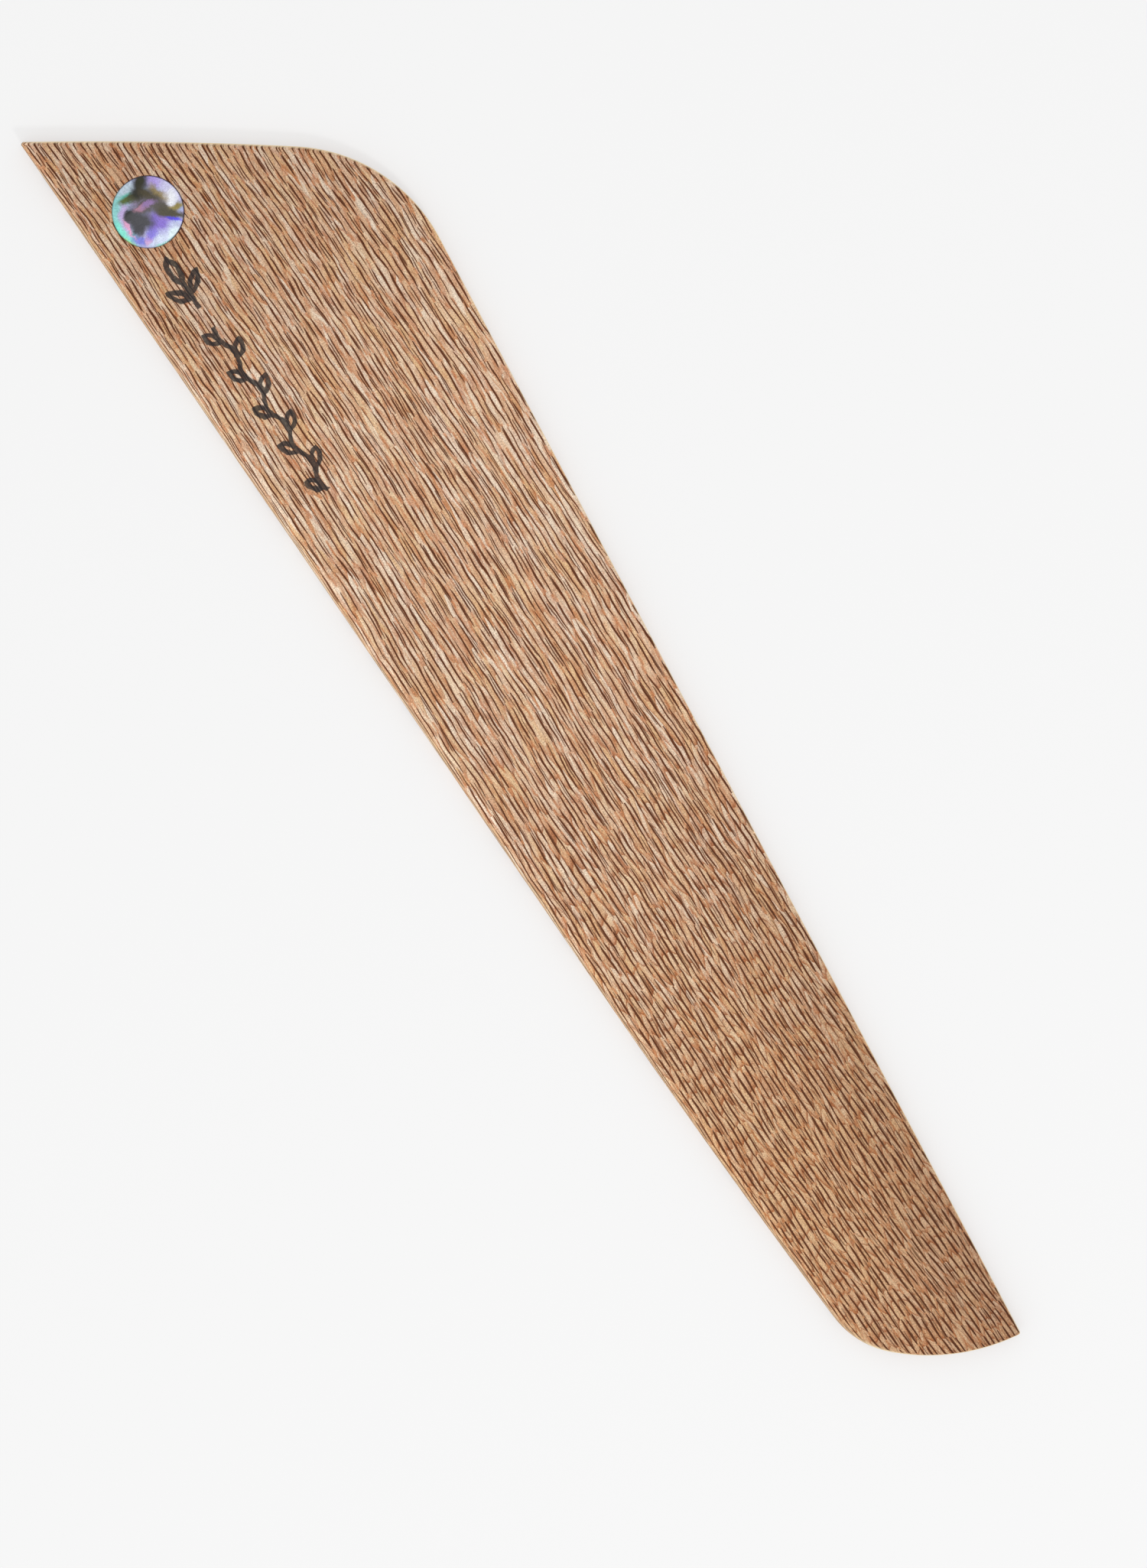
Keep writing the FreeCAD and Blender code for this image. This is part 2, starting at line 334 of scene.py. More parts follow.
def dark_lines(grain):
    """The dark lines of the figure, their halo, and their rusty tails, each from 0 to 1."""
    tree, lower = grain.tree, grain.lower
    thin, thick = 0.15 + lower * 0.075, 0.265 + lower * 0.04
    main, main_halo, tail = spindles(
        tree, grain.across, grain.along, LINE_SPACING, layer=1.0, thin=thin, thick=thick, missing=0.03
    )
    shifted, shorter = grain.across + EXTRA_SHIFT, grain.along * 1.5
    extra, extra_halo, _ = spindles(
        tree, shifted, shorter, EXTRA_SPACING, layer=2.0, thin=0.10, thick=0.20, missing=0.30
    )
    lines = main.at_least(extra * (0.92 - lower * 0.25))
    return lines, main_halo.at_least(extra_halo * 0.8), tail


def field_marks(grain):
    """Splits the wood into fields between the dark lines, whose ends are slanted or pointed.

    Gives how far a point lies from the field's middle, the share of the field's length that is passed,
    and three random numbers that belong to that field.
    """
    shifted = grain.across * (1.0 / LINE_SPACING) + 0.5
    column = shifted.floor()
    side = shifted - column - 0.5
    own, slant, point = chances(grain.tree, column, FIELD_LAYER)
    level = noise(grain.tree, column * 0.37, grain.along * 0.8, seed=5.0) * 2.2
    zigzag = side * (slant - 0.5) * 2.6 + side.size() * (point - 0.4) * 1.9
    stretched = grain.along * (1.15 + grain.lower * 0.6)
    passed = stretched + level + own * (0.8 - grain.lower * 0.45) + zigzag
    piece = passed.floor()
    return side.size(), passed - piece, chances(grain.tree, column, piece)


def pale_colour(grain, clouds, first, third):
    """The ground of the fields: pinkish at the broad end, tan at the narrow end and amber in places."""
    tree, golden = grain.tree, grain.golden
    flow = grain.noise(1.3, 0.22, seed=9.0)
    tone = (first * 0.5 + flow).rise(0.45, 1.05)
    pink = blend(tree, tone, seen(206, 171, 139), seen(219, 202, 181))
    tan = blend(tree, tone, seen(195, 157, 118), seen(200, 167, 131))
    pale = blend(tree, golden, pink, tan)
    amber = (third * 0.5 + clouds).rise(0.55, 1.05)
    pale = blend(tree, amber * (0.5 - golden * 0.25), pale, seen(209, 171, 118))
    fleck = (grain.noise(3.0, 0.22, seed=14.0) + first * 0.2).rise(0.70, 0.84)
    return blend(tree, fleck * (0.27 - golden * 0.20), pale, seen(242, 222, 200))


def field_colour(grain, rust):
    """The fields: pale, with rusty ends and flames, and a brown seam where one meets the next."""
    tree = grain.tree
    middle, passed, (first, second, third) = field_marks(grain)
    clouds = grain.noise(0.35, 0.14, seed=3.0, detail=2.0)
    ragged = grain.noise(2.8, 0.5, seed=4.0, detail=2.0, roughness=0.7)
    end = (passed + (ragged - 0.5) * 0.8).fall(0.05, 0.80)
    rusty = end * (second * 0.8 + clouds).rise(0.78, 1.10)
    field = blend(tree, rusty * 0.60, pale_colour(grain, clouds, first, third), rust)
    flame = (ragged * 1.1 + clouds * 0.6 - third * 0.15).fall(0.55, 0.80)
    field = blend(tree, flame * 0.48, field, rust)
    seam = passed.fall(0.03, 0.27) * (1.0 - middle * 0.3)
    depth = 0.08 + grain.down.rise(-35.0, 35.0) * 0.68
    return blend(tree, seam * depth, field, seen(143, 79, 41))


def wood_colour(grain):
    """The colour of the bare wood, and the share of it that is a dark line."""
    tree, golden = grain.tree, grain.golden
    lines, halo, tail = dark_lines(grain)
    rust = blend(tree, golden, seen(175, 107, 64), seen(162, 99, 54))
    colour = blend(tree, tail * 0.7, field_colour(grain, rust), rust)
    colour = blend(tree, halo * 0.2, colour, seen(160, 100, 60))
    hair = (grain.noise(2.0, 0.15, seed=31.0) - 0.5).size().fall(0.0, 0.035)
    colour = blend(tree, hair * 0.32, colour, seen(132, 78, 44))
    dark = blend(tree, golden, seen(88, 46, 22), seen(86, 46, 22))
    colour = blend(tree, lines, colour, dark)

    streak = grain.noise(3.2, 0.35, seed=2.0)
    grit = grain.noise(5.5, 5.0, seed=1.0, detail=2.0, roughness=0.8)
    colour = shade(tree, -0.31 + streak * 0.22 + grit * 2.8, colour)
    by_the_back = golden * grain.x.rise(-4.0, 14.0)
    colour = tint(tree, by_the_back, colour, (0.79, 0.78, 0.80))
    colour = tint(tree, grain.y.rise(45.0, 95.0), colour, (0.83, 0.80, 0.78))
    colour = tint(tree, grain.down.rise(70.0, 100.0), colour, (0.93, 0.93, 0.98))
    return colour, lines


def edge_highlight_share(tree):
    """Where the painted highlight of the upper edges lies: 1 where the surface turns away at an upper edge,
    and 0 on the flat faces and the sides.
    """
    node = tree.nodes.new("ShaderNodeNewGeometry")
    upright = parts(tree, Value(tree, node.outputs["Normal"]))[2]
    return upright.fall(0.45, 0.97) * upright.rise(0.02, 0.35)


def worn_and_lit_share(grain):
    """1 at the working edge, fading to 0 away from it: the share of the lighter strip, which is partly wear
    and partly painted light.
    """
    right, up = grain.x - BELLY_TOP[0], grain.y - BELLY_TOP[1]
    below = up.at_most(0.0)
    inside = right * EDGE_RISE - up * EDGE_RUN - below * below * (0.5 / BELLY_RADIUS)
    return inside.fall(LIGHTER_STRIP_FULL, LIGHTER_STRIP_NONE)


# ---------------------------------------------------------------- ink

# An inked vine and sprig on the upper face, drawn by hand along the working edge below the disc.
INK_START, INK_END = (-9.9, 43.4), (-12.6, 82.0)
INK_LEVEL = (2.6, 2.8)
VINE_LENGTH = 27.9
LEAF_STEP = 3.1
SPRIG_START = VINE_LENGTH + 3.2
STALK_LENGTH = 4.8


def leaf(along, aside, centre, turn, half_length, half_width):
    """The distance outside a pointed leaf, in millimetres; negative inside it."""
    cosine, sine = math.cos(turn), math.sin(turn)
    x, y = along - centre[0], aside - centre[1]
    length_way = x * cosine + y * sine
    width_way = (y * cosine - x * sine).size()
    radius = (half_length**2 + half_width**2) / (2 * half_width)
    width_way = width_way + (radius - half_width)
    return (length_way * length_way + width_way * width_way).root() - radius


def vine(along, aside):
    """The distance outside the inked lines of a wavy stem, with leaves on one side and the other in turn."""
    step = (along * (1.0 / LEAF_STEP)).floor()
    half_step = step * 0.5
    which_side = (half_step - half_step.floor()) * 4.0 - 1.0
    in_step = along - step * LEAF_STEP - LEAF_STEP / 2
    wave = (along * (math.pi / LEAF_STEP)).sine() * 0.45
    stem = (aside + wave).size() - 0.37
    leaves = leaf(in_step, aside * which_side, (0.25, 1.25), 0.62, half_length=1.55, half_width=0.85)
    leaves = (leaves + 0.28).size() - 0.35
    past_ends = (along - VINE_LENGTH / 2).size() - VINE_LENGTH / 2
    return stem.at_most(leaves).at_least(past_ends)


def sprig(along, aside):
    """The distance outside the inked lines of three leaves on a short stalk."""
    along = along - SPRIG_START
    tip = leaf(along, aside, (6.3, 0.0), 0.0, half_length=2.3, half_width=1.0)
    left = leaf(along, aside, (3.6, 1.5), 0.75, half_length=1.9, half_width=0.85)
    right = leaf(along, aside, (3.0, -1.5), -0.75, half_length=1.9, half_width=0.85)
    leaves = (tip.at_most(left).at_most(right) + 0.3).size() - 0.37
    past_ends = (along - STALK_LENGTH / 2).size() - STALK_LENGTH / 2
    return leaves.at_most((aside.size() - 0.36).at_least(past_ends))


def ink_marks(tree):
    """Where the ink lies, 0 to 1."""
    x, y, z = position_in_mm(tree)
    wobble_x = noise(tree, x * 0.7, y * 0.7, seed=21.0) - 0.5
    wobble_y = noise(tree, x * 0.7, y * 0.7, seed=23.0) - 0.5
    x, y = x + wobble_x * 0.6, y + wobble_y * 0.6
    length = math.dist(INK_START, INK_END)
    run, rise = (INK_END[0] - INK_START[0]) / length, (INK_END[1] - INK_START[1]) / length
    right, up = x - INK_START[0], y - INK_START[1]
    along, aside = right * run + up * rise, right * rise - up * run

    marks = vine(along, aside).at_most(sprig(along, aside))
    worn = noise(tree, x * 2.5, y * 2.5, seed=2.0, detail=2.0)
    inked = (marks + (worn - 0.5) * 0.25).fall(-0.07, 0.07)
    return inked * z.rise(*INK_LEVEL) * (0.80 + worn * 0.25)


def make_wood():
    """Figured wood with a painted highlight of pale cream on its upper bevel, a lighter strip along the
    working edge that is partly wear and partly painted light, and the ink.
    """
    material, tree, shader = new_material("figured_wood")
    grain = Grain(tree)
    colour, lines = wood_colour(grain)
    worn_and_lit = worn_and_lit_share(grain)
    # Lighter along the working edge: partly wear, partly painted light on the strip that faces the lamps.
    colour = shade(tree, 1.0 + worn_and_lit * 0.20, colour)
    # Painted highlight: the rounded upper edges are blended to pale cream, as where they catch the light,
    # and less so along the working edge.
    colour = blend(tree, edge_highlight_share(tree) * (0.95 - worn_and_lit * 0.65), colour, seen(246, 224, 184))
    inked = shade(tree, 0.145, blend(tree, 0.85, colour, seen(118, 116, 120)))
    colour = blend(tree, ink_marks(tree), colour, inked)
    plug(tree, colour, shader.inputs["Base Color"])
    shader.inputs["Roughness"].default_value = 0.62
    shader.inputs["Specular IOR Level"].default_value = 0.15
    bump(tree, shader, 1.0 - lines, 0.008)
    return material


# ---------------------------------------------------------------- blade

CORNER_ROUNDING, CORNER_STEPS = 0.35, 10
OUTLINE_STEP = 0.9
EDGE_STEPS = 7
CRISP_EDGE, SOFT_EDGE = 0.28, 1.15


def bearing(centre, point):
    """The direction from a centre to a point, in degrees anticlockwise from +X."""
    return math.degrees(math.atan2(point[1] - centre[1], point[0] - centre[0]))


def arc(centre, radius, start, end):
    """Points along an arc, from and to an angle in degrees."""
    length = abs(math.radians(end - start)) * radius
    count = max(2, round(length / OUTLINE_STEP))
    points = []
    for i in range(count + 1):
        angle = math.radians(start + (end - start) * i / count)
        points.append((centre[0] + radius * math.cos(angle), centre[1] + radius * math.sin(angle)))
    return points


def line(start, end):
    """Points along a straight line, one of them at the middle of the blade, y = 0, if it goes past it."""
    stops = [start]
    if start[1] * end[1] < 0:
        share = start[1] / (start[1] - end[1])
        stops.append((start[0] + (end[0] - start[0]) * share, 0.0))
    stops.append(end)
    points = [start]
    for first, last in zip(stops, stops[1:]):
        count = max(1, round(math.dist(first, last) / OUTLINE_STEP))
        for i in range(1, count + 1):
            t = i / count
            points.append((first[0] + (last[0] - first[0]) * t, first[1] + (last[1] - first[1]) * t))
    return points


def round_corner(before, corner, after):
    """A short arc in place of a sharp corner, and how far from the corner it starts and ends."""
    to_before = (Vector(before) - Vector(corner)).normalized()
    to_after = (Vector(after) - Vector(corner)).normalized()
    half = to_before.angle(to_after) / 2
    cut = CORNER_ROUNDING / math.tan(half)
    centre = Vector(corner) + (to_before + to_after).normalized() * (CORNER_ROUNDING / math.sin(half))
    first = bearing(centre, Vector(corner) + to_before * cut)
    last = bearing(centre, Vector(corner) + to_after * cut)
    turn = (last - first + 180) % 360 - 180
    points = []
    for i in range(CORNER_STEPS + 1):
        angle = math.radians(first + turn * i / CORNER_STEPS)
        right, up = CORNER_ROUNDING * math.cos(angle), CORNER_ROUNDING * math.sin(angle)
        points.append((centre[0] + right, centre[1] + up))
    return points, cut


def outline_points():
    """The closed outline, clockwise from the sharp point."""
    slant_end = bearing(SLANT_CENTRE, SHOULDER_CENTRE)
    to_tangent = math.acos(SHOULDER_RADIUS / math.dist(SHOULDER_CENTRE, TOE))
    shoulder_end = bearing(SHOULDER_CENTRE, TOE) + math.degrees(to_tangent)
    heel_start = bearing(END_CENTRE, HEEL_CENTRE)
    heel_end = bearing(BELLY_CENTRE, HEEL_CENTRE)

    slant = arc(SLANT_CENTRE, SLANT_RADIUS, bearing(SLANT_CENTRE, POINT), slant_end)
    shoulder = arc(SHOULDER_CENTRE, SHOULDER_RADIUS, slant_end, shoulder_end)
    back = line(shoulder[-1], TOE)
    end = arc(END_CENTRE, END_RADIUS, bearing(END_CENTRE, TOE), heel_start)
    heel = arc(HEEL_CENTRE, HEEL_RADIUS, heel_start, heel_end)
    belly = arc(BELLY_CENTRE, BELLY_RADIUS, heel_end, bearing(BELLY_CENTRE, BELLY_TOP))
    edge = line(BELLY_TOP, POINT)
    to_toe = slant + shoulder[1:] + back[1:]
    to_point = end[1:] + heel[1:] + belly[1:] + edge[1:]

    point_arc, point_cut = round_corner(to_point[-2], POINT, to_toe[1])
    toe_arc, toe_cut = round_corner(to_toe[-2], TOE, to_point[0])

    def uncut(points):
        return [p for p in points if math.dist(p, POINT) > point_cut and math.dist(p, TOE) > toe_cut]

    return point_arc + uncut(to_toe) + toe_arc + uncut(to_point)


def outward(points, i):
    """The direction square to the outline at a point, pointing away from the wood."""
    before, after = points[i - 1], points[(i + 1) % len(points)]
    along = (Vector(after) - Vector(before)).normalized()
    return Vector((-along.y, along.x))


def edge_radius(point, normal):
    """How far the edge is rounded: rubbed soft along the working edge, crisp elsewhere."""
    crisp = CRISP_EDGE + 0.5 * max(0.0, normal.y)
    facing_left = min(1.0, max(0.0, (-normal.x - 0.55) / 0.4))
    below_point = min(1.0, max(0.0, (POINT[1] - point[1] - 0.6) / 14.0))
    sway = 0.12 * math.sin(point[1] * 0.21) + 0.08 * math.sin(point[1] * 0.53 + 1.0)
    return crisp + (SOFT_EDGE + sway - crisp) * facing_left * below_point


def blade_stations():
    """Each point of the outline, with the direction out of the wood and the rounding of the edge there."""
    points = outline_points()
    normals = [outward(points, i) for i in range(len(points))]
    return [(point, normal, edge_radius(point, normal)) for point, normal in zip(points, normals)]


# The bake sheet: a square, in millimetres, on which the blade's surface is laid out. Each half of the
# upper face keeps its size, and each half of the underside is drawn at half size beside them.
SHEET = 112.0

# The scale of each part of the surface on the sheet, and how far it is moved right and up.
SHEET_PLACES = {
    ("upper", "broad"): (1.0, 24.2, 1.0),
    ("upper", "slim"): (1.0, 65.8, 110.4),
    ("under", "broad"): (0.5, 98.2, 0.8),
    ("under", "slim"): (0.5, 95.5, 111.2),
    ("seat", "broad"): (0.4, 113.4, 26.2),
}
SEAT_STEPS = 96


class Surface:
    """The blade's mesh, with the place of every corner on the bake sheet."""

    def __init__(self):
        self.mesh = bmesh.new()
        self.layer = self.mesh.loops.layers.uv.new("OFBake")
        self.flat = {}

    def corner(self, spot, flat, side):
        """Adds a corner at a spot, with its place in the flat on one side of the blade."""
        corner = self.mesh.verts.new(spot)
        self.flat[corner, side] = flat
        return corner

    def lay(self, face, side, half):
        """Places a face on the bake sheet."""
        scale, right, up = SHEET_PLACES[side, half]
        for loop in face.loops:
            x, y = self.flat[loop.vert, side]
            loop[self.layer].uv = ((x * scale + right) / SHEET, (y * scale + up) / SHEET)

    def band(self, first, second, side, halves):
        """Joins two rings of corners with smooth faces."""
        for i in range(len(first)):
            j = (i + 1) % len(first)
            face = self.mesh.faces.new((first[i], second[i], second[j], first[j]))
            face.smooth = True
            self.lay(face, side, halves[i])

    def fill(self, loops, side, half):
        """Fills a flat outline, with any holes in it."""
        edges = []
        for loop in loops:
            for first, second in zip(loop, loop[1:] + loop[:1]):
                edge = self.mesh.edges.get((first, second))
                edges.append(edge or self.mesh.edges.new((first, second)))
        filled = bmesh.ops.triangle_fill(self.mesh, use_beauty=True, use_dissolve=False, edges=edges)
        for face in filled["geom"]:
            if isinstance(face, bmesh.types.BMFace):
                self.lay(face, side, half)


def edge_ring(surface, stations, share, thickness, side):
    """One ring of corners round the edge: share is 0 at the flat face and 1 where the edge is upright."""
    ring = []
    angle = share * math.pi / 2
    for (x, y), normal, radius in stations:
        inset = radius * (1 - math.sin(angle))
        drop = radius * (1 - math.cos(angle))
        unrolled = radius * (angle - 1)
        height = thickness - drop if side == "upper" else drop
        spot = (x - normal.x * inset, y - normal.y * inset, height)
        ring.append(surface.corner(spot, (x + normal.x * unrolled, y + normal.y * unrolled), side))
    return ring


def middle_ring(surface, stations, thickness):
    """The ring halfway up the edge, where the upper and the under part of the bake sheet part."""
    ring = []
    for (x, y), normal, radius in stations:
        unrolled = radius * (math.pi / 2 - 1) + thickness / 2 - radius
        flat = (x + normal.x * unrolled, y + normal.y * unrolled)
        corner = surface.corner((x, y, thickness / 2), flat, "upper")
        surface.flat[corner, "under"] = flat
        ring.append(corner)
    return ring


def circle(surface, centre, radius, height, flat_radii):
    """A level ring of corners, with its radius on the bake sheet for each side that it borders."""
    ring = []
    for i in range(SEAT_STEPS):
        turn = 2 * math.pi * i / SEAT_STEPS
        x, y = math.cos(turn), math.sin(turn)
        corner = surface.mesh.verts.new((centre[0] + radius * x, centre[1] + radius * y, height))
        for side, reach in flat_radii.items():
            surface.flat[corner, side] = (centre[0] + reach * x, centre[1] + reach * y)
        ring.append(corner)
    return ring


def bore_seat(surface, thickness):
    """The round blind seat of the disc; gives the ring of its rim."""
    centre, radius, bottom, _ = box_in_mm("adhesive_bed")
    unrolled = radius + (thickness - bottom)
    rim = circle(surface, centre, radius, thickness, {"upper": radius, "seat": unrolled})
    foot = circle(surface, centre, radius, bottom, {"seat": radius})
    surface.band(rim, foot, "seat", ["broad"] * SEAT_STEPS)
    surface.fill([foot], "seat", "broad")
    return rim


def make_blade(wood):
    """The blade, with its working edge rubbed soft, its other edges eased, and the seat of the disc."""
    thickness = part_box("blade")[1].z / MM
    stations = blade_stations()
    right_middle, left_middle = [i for i, (point, _, _) in enumerate(stations) if point[1] == 0.0]
    halves = ["slim" if right_middle <= i < left_middle else "broad" for i in range(len(stations))]
    slim = list(range(right_middle, left_middle + 1))
    broad = list(range(left_middle, len(stations))) + list(range(right_middle + 1))

    surface = Surface()
    shares = [step / EDGE_STEPS for step in range(EDGE_STEPS + 1)]
    upper = [edge_ring(surface, stations, share, thickness, "upper") for share in shares]
    under = [edge_ring(surface, stations, share, thickness, "under") for share in shares]
    middle = middle_ring(surface, stations, thickness)
    for side, rings in (("upper", upper), ("under", under)):
        for first, second in zip(rings, rings[1:] + [middle]):
            surface.band(first, second, side, halves)
    rim = bore_seat(surface, thickness)
    surface.fill([[upper[0][i] for i in broad], rim], "upper", "broad")
    surface.fill([[upper[0][i] for i in slim]], "upper", "slim")
    surface.fill([[under[0][i] for i in broad]], "under", "broad")
    surface.fill([[under[0][i] for i in slim]], "under", "slim")
    return finish_mesh(surface.mesh, "blade_wood", wood)


def finish_mesh(mesh, name, material):
    """Turns a mesh drawn in millimetres into a piece that rides with the part."""
    bmesh.ops.recalc_face_normals(mesh, faces=mesh.faces)
    bmesh.ops.scale(mesh, vec=(MM, MM, MM), verts=mesh.verts)
    data = bpy.data.meshes.new(name)
    mesh.to_mesh(data)
    mesh.free()
    data.materials.append(material)
    piece = bpy.data.objects.new(name, data)
    bpy.context.scene.collection.objects.link(piece)
    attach(piece, "root")
    return piece


def box_in_mm(node):
    """The middle and radius of a round CAD node, and its lowest and highest level."""
    low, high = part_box(node)
    centre = ((low.x + high.x) / 2 / MM, (low.y + high.y) / 2 / MM)
    return centre, (high.x - low.x) / 2 / MM, low.z / MM, high.z / MM


# ---------------------------------------------------------------- shell disc

# The pattern of the shell is described upright, and this is how far it is turned in its seat.
SHELL_TURN = math.radians(-31.3)

# Blotches of the shell: centre and half sizes in shares of its radius, turn in degrees, and colour.
SHELL_BLOTCHES = [
    ((-0.90, 0.00), (0.32, 0.78), 0, (146, 212, 210)),
    ((-0.60, 0.62), (0.30, 0.26), 40, (186, 202, 216)),
    ((-0.60, 0.36), (0.24, 0.14), 30, (96, 184, 168)),
    ((-0.66, -0.64), (0.46, 0.26), -45, (132, 238, 216)),
    ((-0.52, -0.86), (0.22, 0.08), -32, (190, 240, 140)),
    ((-0.67, -0.12), (0.12, 0.36), 5, (196, 176, 226)),
    ((-0.56, -0.42), (0.10, 0.30), 28, (200, 182, 224)),
    ((0.45, -0.64), (0.52, 0.36), 25, (216, 226, 250)),
    ((0.72, -0.60), (0.20, 0.14), 45, (228, 246, 250)),
    ((0.52, -0.88), (0.36, 0.07), 30, (168, 228, 220)),
    ((-0.20, -0.82), (0.24, 0.12), -18, (122, 126, 222)),
    ((0.02, -0.80), (0.10, 0.16), 0, (224, 176, 212)),
    ((0.14, -0.52), (0.16, 0.34), -24, (136, 124, 226)),
    ((0.30, -0.26), (0.34, 0.24), -35, (136, 110, 212)),
    ((0.48, -0.14), (0.26, 0.11), -22, (146, 116, 210)),
    ((0.20, 0.84), (0.42, 0.15), -14, (174, 154, 224)),
    ((0.58, 0.66), (0.30, 0.20), -40, (208, 206, 240)),
    # Painted highlight: a whitish reflection of a light on the polished shell, painted in as a pale blotch.
    ((0.60, 0.34), (0.23, 0.26), 0, (238, 240, 248)),
    ((0.26, 0.52), (0.32, 0.13), -42, (146, 128, 88)),
    ((0.80, 0.14), (0.28, 0.10), 32, (146, 130, 62)),
    ((0.54, 0.06), (0.22, 0.10), -14, (142, 128, 74)),
    ((-0.54, 0.30), (0.30, 0.11), 22, (84, 102, 46)),
    ((-0.34, 0.42), (0.24, 0.16), 30, (62, 62, 36)),
    ((-0.22, 0.82), (0.19, 0.30), -10, (44, 44, 22)),
    ((-0.20, 0.56), (0.26, 0.22), -30, (24, 26, 14)),
    ((0.06, 0.40), (0.40, 0.19), -42, (72, 64, 42)),
    ((0.30, 0.14), (0.32, 0.20), -44, (74, 68, 52)),
    ((0.66, -0.06), (0.46, 0.12), -8, (66, 60, 34)),
    ((0.70, -0.20), (0.24, 0.05), -14, (76, 62, 222)),
    ((-0.10, 0.14), (0.40, 0.24), 15, (84, 78, 76)),
    ((-0.24, 0.07), (0.27, 0.10), 25, (176, 126, 148)),
    ((0.00, 0.20), (0.22, 0.10), 30, (146, 116, 170)),
    ((-0.53, -0.12), (0.12, 0.22), -10, (20, 24, 18)),
    ((-0.38, -0.22), (0.24, 0.22), -10, (44, 46, 46)),
    ((-0.18, -0.27), (0.38, 0.25), -8, (58, 58, 64)),
    ((-0.26, -0.50), (0.18, 0.20), 20, (50, 50, 58)),
    ((-0.50, -0.50), (0.035, 0.30), 33, (232, 168, 206)),
]


def blotch(across, up, centre, half_sizes, turn):
    """1 inside an ellipse and 0 outside it, with a soft border."""
    cosine, sine = math.cos(math.radians(turn)), math.sin(math.radians(turn))
    x, y = across - centre[0], up - centre[1]
    long_way = (x * cosine + y * sine) / half_sizes[0]
    short_way = (y * cosine - x * sine) / half_sizes[1]
    return (long_way * long_way + short_way * short_way).root().fall(0.42, 1.48)


def make_shell(centre, radius):
    """Polished paua shell: blotches bent by noise, one of them a painted highlight, faint rays and grit, and
    a dark edge.
    """
    material, tree, shader = new_material("paua_shell")
    x, y, _ = position_in_mm(tree)
    x, y = (x - centre[0]) / radius, (y - centre[1]) / radius
    cosine, sine = math.cos(SHELL_TURN), math.sin(SHELL_TURN)
    across, up = x * cosine + y * sine, y * cosine - x * sine
    from_middle = (across * across + up * up).root()
    swirl_x = noise(tree, across * 2.6, up * 2.6, seed=1.0, detail=4.0, roughness=0.68) - 0.5
    swirl_y = noise(tree, across * 2.6, up * 2.6, seed=5.0, detail=4.0, roughness=0.68) - 0.5
    bent_x, bent_y = across + swirl_x * 0.36, up + swirl_y * 0.36
    colour = blend(tree, swirl_x.rise(-0.2, 0.2), seen(196, 178, 232), seen(170, 190, 232))
    for middle, half_sizes, turn, levels in SHELL_BLOTCHES:
        colour = blend(tree, blotch(bent_x, bent_y, middle, half_sizes, turn), colour, seen(*levels))
    angle = bent_y.math("ARCTAN2", bent_x)
    rays = noise(tree, angle * 13.0, from_middle * 4.0, seed=3.0, detail=2.0)
    grit = noise(tree, across * 30.0, up * 30.0, seed=2.0, detail=2.0, roughness=0.7)
    colour = shade(tree, 0.17 + rays * 0.66 + grit * 0.95, colour)
    edge = from_middle.rise(0.955, 0.995) * (0.40 + (across + up).rise(-0.8, 0.4) * 0.60)
    colour = blend(tree, edge, colour, seen(44, 30, 52))
    plug(tree, colour, shader.inputs["Base Color"])
    shader.inputs["Roughness"].default_value = 0.22
    shader.inputs["Specular IOR Level"].default_value = 0.25
    shader.inputs["Coat Weight"].default_value = 0.4
    shader.inputs["Coat Roughness"].default_value = 0.04
    bump(tree, shader, rays, 0.01)
    return material


ROUND_STEPS = 160


def revolve(name, centre, profile, material):
    """A round piece from (radius, height) points, from its middle outwards and round to its middle."""
    mesh = bmesh.new()
    rings = []
    for radius, height in profile:
        ring = []
        for i in range(ROUND_STEPS if radius > 0 else 1):
            angle = 2 * math.pi * i / ROUND_STEPS
            right, up = radius * math.cos(angle), radius * math.sin(angle)
            ring.append(mesh.verts.new((centre[0] + right, centre[1] + up, height)))
        rings.append(ring)
    for first, second in zip(rings, rings[1:]):
        for i in range(ROUND_STEPS):
            corners = [first[i % len(first)], second[i % len(second)]]
            corners += [second[(i + 1) % len(second)], first[(i + 1) % len(first)]]
            corners = list(dict.fromkeys(corners))
            if len(corners) > 2:
                mesh.faces.new(corners).smooth = True
    return finish_mesh(mesh, name, material)


# How much wider than in the design the disc is drawn, so that less of the dark ring shows.
DISC_SPREAD = 0.07

# How far the dome falls from its middle to its edge, then the rounding of that edge and the bevel below.
DISC_CROWN, DISC_RIM, DISC_BEVEL = 0.18, 0.16, 0.05
DOME_STEPS, RIM_STEPS = 24, 6

# The hairline kept between the adhesive and its neighbours, and the small bevel of its inner upper edge.
BEAD_GAP = 0.005
BEAD_BEVEL, BEAD_BEVEL_DROP = 0.01, 0.02


def make_disc():
    """The shell disc: a low dome with a rounded edge."""
    centre, radius, bottom, top = box_in_mm("paua_disc")
    radius += DISC_SPREAD
    shell = make_shell(centre, radius)
    profile = [(0.0, top)]
    for i in range(1, DOME_STEPS + 1):
        reach = (radius - DISC_RIM) * i / DOME_STEPS
        profile.append((reach, top - DISC_CROWN * (reach / radius) ** 2))
    level = profile[-1][1]
    for i in range(1, RIM_STEPS + 1):
        angle = math.radians(90 * i / RIM_STEPS)
        out, down = DISC_RIM * math.sin(angle), DISC_RIM * (1 - math.cos(angle))
        profile.append((radius - DISC_RIM + out, level - down))
    profile += [(radius, bottom + DISC_BEVEL), (radius - DISC_BEVEL, bottom), (0.0, bottom)]
    return revolve("shell_disc", centre, profile, shell)


